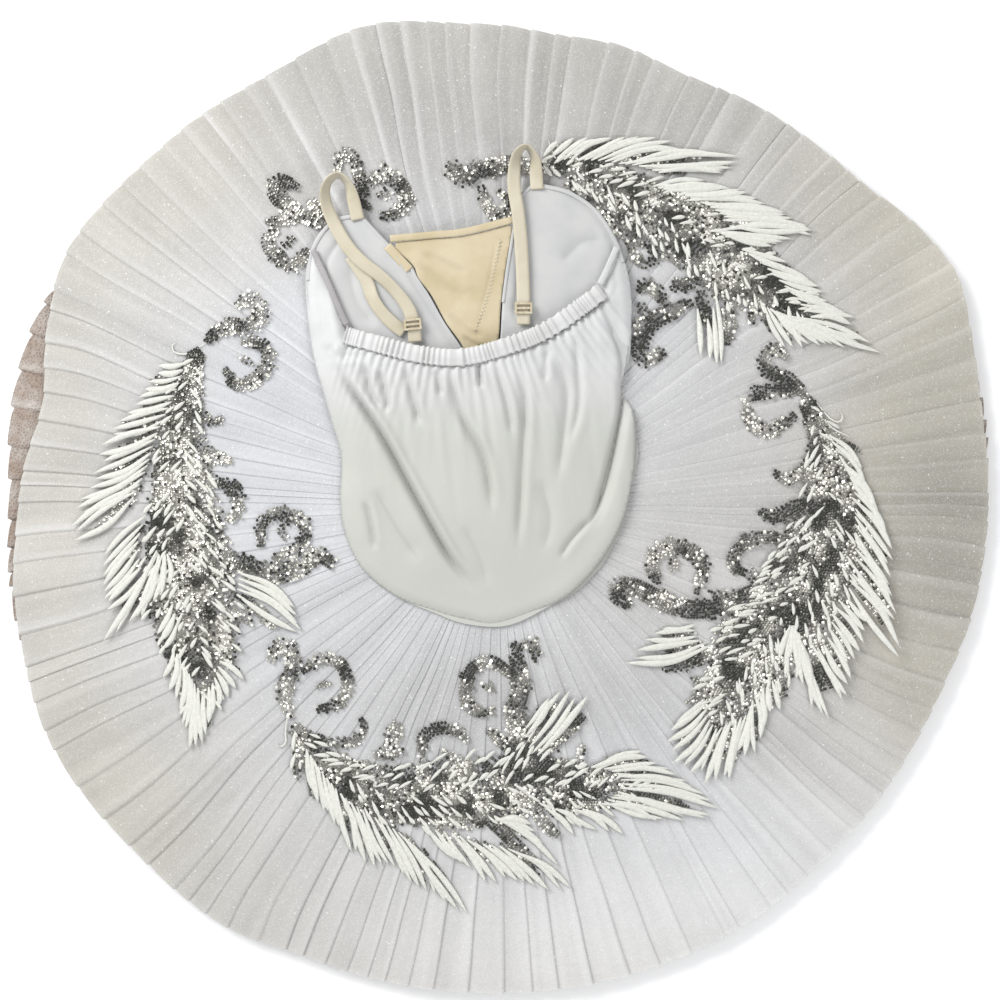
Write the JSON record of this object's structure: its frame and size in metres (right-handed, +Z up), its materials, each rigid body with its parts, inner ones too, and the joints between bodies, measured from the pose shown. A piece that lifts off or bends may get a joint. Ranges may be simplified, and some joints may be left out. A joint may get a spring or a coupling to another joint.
{
  "type": "ballet tutu laid flat",
  "caption": "Ballet tutu lying flat: pleated glitter-net plate with silver feather appliques, and a camisole bodice with a gathered back folded forward over it.",
  "frame": {"origin": "middle of the laid garment's footprint, on the surface that it lies on", "axes": "+Z up out of the surface, +Y towards the front of the garment, where the bodice is folded, +X to the right seen from above"},
  "size_m": [0.9742, 0.9658, 0.0527],
  "materials": {
    "glitter_net": "pale silver-grey glitter tulle, knife pleated",
    "white_net": "stiff white net",
    "taupe_net": "stiff taupe net, knife pleated",
    "stretch_satin": "off-white stretch satin, soft sheen",
    "nude_mesh": "nude stretch mesh, matt",
    "strap_elastic": "nude satin strap elastic",
    "slider_metal": "nude enamelled strap slider",
    "sequins": "silver sequins and ivory satin stitch on net"
  },
  "bodies": {
    "root": {"knickers_back": "stretch_satin", "knickers_front": "stretch_satin", "net_layer_1": "white_net", "net_layer_2": "white_net", "net_layer_3": "white_net", "net_long": "taupe_net", "skirt_top": "glitter_net", "hip_yoke": "stretch_satin", "applique_front_left": "sequins", "applique_front_right": "sequins", "applique_left": "sequins", "applique_back": "sequins", "applique_right": "sequins", "bodice_side_left": "stretch_satin", "bodice_side_right": "stretch_satin", "bodice_back": "stretch_satin", "front_left": "stretch_satin", "front_right": "stretch_satin", "neck_insert": "nude_mesh", "insert_binding": "nude_mesh", "armhole_binding_left": "stretch_satin", "armhole_binding_right": "stretch_satin", "back_casing": "stretch_satin", "strap_left": "strap_elastic", "strap_left_return": "strap_elastic", "strap_right": "strap_elastic", "slider_left": "slider_metal", "slider_right": "slider_metal"}
  },
  "joints": []
}
